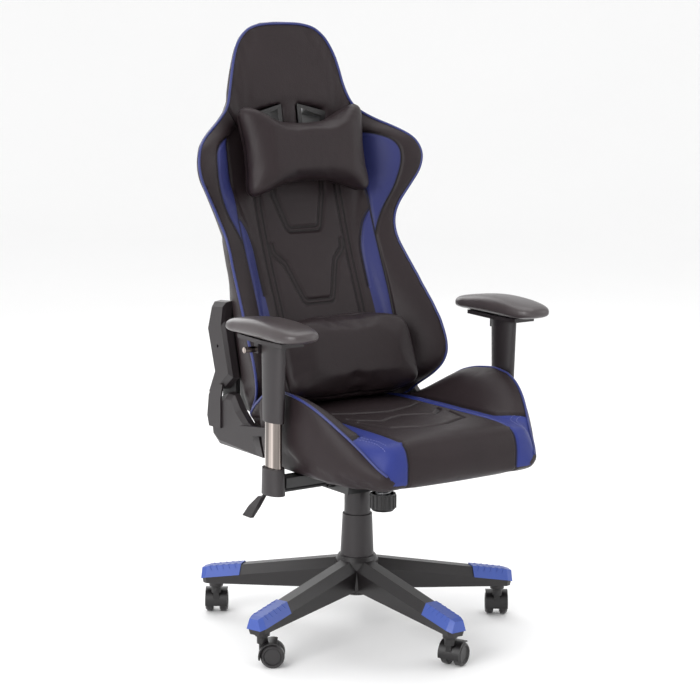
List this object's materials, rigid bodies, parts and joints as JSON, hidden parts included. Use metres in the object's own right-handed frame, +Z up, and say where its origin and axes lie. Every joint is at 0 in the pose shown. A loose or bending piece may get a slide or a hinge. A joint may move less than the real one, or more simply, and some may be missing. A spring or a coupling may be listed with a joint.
{
  "type": "gaming chair",
  "caption": "High-back racing-style gaming chair with neck and lumbar pillows, height-adjustable armrests, reclining back and a five-leg caster base.",
  "frame": {"origin": "on the floor, on the axis of the height column", "axes": "+Z up; the chair faces -Y; the sitter's right hand is towards -X"},
  "size_m": [0.6808, 0.69, 1.255],
  "materials": {
    "base_nylon": "fine moulded grain, black nylon",
    "cap_blue": "satin blue moulded plastic",
    "black_plastic": "fine-textured black moulded plastic",
    "dark_plastic": "smooth black moulded plastic",
    "wheel_nylon": "black nylon caster wheels",
    "chrome": "polished chrome",
    "steel": "bright machined steel",
    "black_steel": "black powder coat",
    "leather_black": "black PU leather, semi-matte",
    "leather_blue": "navy blue PU leather, semi-matte",
    "pad_pu": "soft-touch black polyurethane",
    "webbing": "black elastic webbing"
  },
  "bodies": {
    "base": {"star_base": "base_nylon", "foot_covers": "cap_blue", "caster_stems": "steel", "column_tube": "black_steel", "column_bush": "dark_plastic", "thrust_bearing": "steel", "dust_sleeve_lower": "black_plastic"},
    "column_rod": {"piston_rod": "steel"},
    "mechanism": {"gas_cylinder": "black_steel", "dust_sleeve_upper": "black_plastic", "mechanism_housing": "black_steel", "tilt_axle": "steel", "tension_spring": "steel"},
    "lever_slide": {"lever_bush": "dark_plastic"},
    "lift_lever": {"lift_lever_rod": "black_steel", "lift_lever_paddle": "black_plastic"},
    "tension_knob": {"tension_knob": "dark_plastic"},
    "seat": {"tilt_plate": "black_steel", "tension_bolt": "steel", "seat_frame": "black_steel", "seat_webbing": "webbing", "seat_bolts": "steel", "seat_cushion": "leather_black", "seat_bolster_right": "leather_black", "seat_bolster_left": "leather_black", "recliner_plates": "black_steel", "lower_cover_right": "black_plastic", "lower_cover_left": "black_plastic", "arm_brackets": "black_steel", "arm_post_right": "chrome", "arm_post_left": "chrome", "arm_collars": "black_plastic"},
    "recline_lever": {"recline_lever": "black_plastic"},
    "armrest_right": {"arm_sheath_right": "black_plastic", "arm_pad_right": "pad_pu"},
    "armrest_left": {"arm_sheath_left": "black_plastic", "arm_pad_left": "pad_pu"},
    "arm_button_right": {"arm_button_right": "chrome"},
    "arm_button_left": {"arm_button_left": "chrome"},
    "backrest": {"back_frame": "black_steel", "back_cushion": "leather_black", "back_wing_right": "leather_black", "back_wing_left": "leather_black", "harness_bezels": "dark_plastic", "recliner_arm_right": "black_steel", "recliner_arm_left": "black_steel", "upper_cover_right": "black_plastic", "upper_cover_left": "black_plastic"},
    "neck_pillow": {"neck_pillow": "leather_black"},
    "lumbar_pillow": {"lumbar_pillow": "leather_black"},
    "caster_1": {"caster_hood_1": "dark_plastic"},
    "wheels_1": {"caster_wheels_1": "wheel_nylon"},
    "caster_2": {"caster_hood_2": "dark_plastic"},
    "wheels_2": {"caster_wheels_2": "wheel_nylon"},
    "caster_3": {"caster_hood_3": "dark_plastic"},
    "wheels_3": {"caster_wheels_3": "wheel_nylon"},
    "caster_4": {"caster_hood_4": "dark_plastic"},
    "wheels_4": {"caster_wheels_4": "wheel_nylon"},
    "caster_5": {"caster_hood_5": "dark_plastic"},
    "wheels_5": {"caster_wheels_5": "wheel_nylon"}
  },
  "joints": [
    {"name": "seat_swivel", "type": "hinge", "parent": "base", "child": "column_rod", "pos_m": [0, 0, 0.1], "axis": [0, 0, 1], "continuous": true},
    {"name": "gas_lift", "type": "slide", "parent": "column_rod", "child": "mechanism", "axis": [0, 0, 1], "range_m": [-0.03, 0.055]},
    {"name": "tilt_lock", "type": "slide", "parent": "mechanism", "child": "lever_slide", "axis": [-1, 0, 0], "range_m": [0, 0.012]},
    {"name": "height_lever", "type": "hinge", "parent": "lever_slide", "child": "lift_lever", "pos_m": [-0.07, 0, 0.322], "axis": [0, 1, 0], "range_deg": [0, 7], "stiffness_Nm_per_rad": 2, "springref_deg": -5.73},
    {"name": "seat_tilt", "type": "hinge", "parent": "mechanism", "child": "seat", "pos_m": [0, -0.045, 0.337], "axis": [-1, 0, 0], "range_deg": [0, 12], "stiffness_Nm_per_rad": 90, "springref_deg": -28.65, "deforming": ["tension_spring"]},
    {"name": "tension_adjust", "type": "hinge", "parent": "seat", "child": "tension_knob", "pos_m": [0, -0.089, 0.29], "axis": [0, 0, 1], "continuous": true},
    {"name": "recline", "type": "hinge", "parent": "seat", "child": "backrest", "pos_m": [0, 0.155, 0.43], "axis": [-1, 0, 0], "range_deg": [0, 45]},
    {"name": "recline_release", "type": "hinge", "parent": "seat", "child": "recline_lever", "pos_m": [-0.235, 0.022, 0.452], "axis": [-1, 0, 0], "range_deg": [0, 25], "stiffness_Nm_per_rad": 1, "springref_deg": -11.46},
    {"name": "arm_height_right", "type": "slide", "parent": "seat", "child": "armrest_right", "axis": [0, 0, 1], "range_m": [-0.08, 0.01]},
    {"name": "arm_height_left", "type": "slide", "parent": "seat", "child": "armrest_left", "axis": [0, 0, 1], "range_m": [-0.08, 0.01]},
    {"name": "arm_catch_right", "type": "slide", "parent": "armrest_right", "child": "arm_button_right", "axis": [1, 0, 0], "range_m": [0, 0.002], "stiffness_N_per_m": 400, "springref_m": -0.002},
    {"name": "arm_catch_left", "type": "slide", "parent": "armrest_left", "child": "arm_button_left", "axis": [-1, 0, 0], "range_m": [0, 0.002], "stiffness_N_per_m": 400, "springref_m": -0.002},
    {"name": "neck_pillow_slide", "type": "slide", "parent": "backrest", "child": "neck_pillow", "axis": [0, 0.2164, 0.9763], "range_m": [-0.03, 0.02]},
    {"name": "lumbar_pillow_slide", "type": "slide", "parent": "backrest", "child": "lumbar_pillow", "axis": [0, 0.3665, 0.9304], "range_m": [0, 0.05]},
    {"name": "caster_swivel_1", "type": "hinge", "parent": "base", "child": "caster_1", "pos_m": [0, -0.317, 0.05], "axis": [0, 0, 1], "continuous": true},
    {"name": "wheel_roll_1", "type": "hinge", "parent": "caster_1", "child": "wheels_1", "pos_m": [0.01918, -0.30846, 0.024], "axis": [-0.4067, 0.9135, 0], "continuous": true},
    {"name": "caster_swivel_2", "type": "hinge", "parent": "base", "child": "caster_2", "pos_m": [0.30149, -0.09796, 0.05], "axis": [0, 0, 1], "continuous": true},
    {"name": "wheel_roll_2", "type": "hinge", "parent": "caster_2", "child": "wheels_2", "pos_m": [0.31383, -0.08097, 0.024], "axis": [-0.809, 0.5878, 0], "continuous": true},
    {"name": "caster_swivel_3", "type": "hinge", "parent": "base", "child": "caster_3", "pos_m": [0.18633, 0.25646, 0.05], "axis": [0, 0, 1], "continuous": true},
    {"name": "wheel_roll_3", "type": "hinge", "parent": "caster_3", "child": "wheels_3", "pos_m": [0.18268, 0.27714, 0.024], "axis": [-0.9848, -0.1736, 0], "continuous": true},
    {"name": "caster_swivel_4", "type": "hinge", "parent": "base", "child": "caster_4", "pos_m": [-0.18633, 0.25646, 0.05], "axis": [0, 0, 1], "continuous": true},
    {"name": "wheel_roll_4", "type": "hinge", "parent": "caster_4", "child": "wheels_4", "pos_m": [-0.17398, 0.27345, 0.024], "axis": [-0.809, 0.5878, 0], "continuous": true},
    {"name": "caster_swivel_5", "type": "hinge", "parent": "base", "child": "caster_5", "pos_m": [-0.30149, -0.09796, 0.05], "axis": [0, 0, 1], "continuous": true},
    {"name": "wheel_roll_5", "type": "hinge", "parent": "caster_5", "child": "wheels_5", "pos_m": [-0.2845, -0.1103, 0.024], "axis": [0.5878, 0.809, 0], "continuous": true}
  ]
}
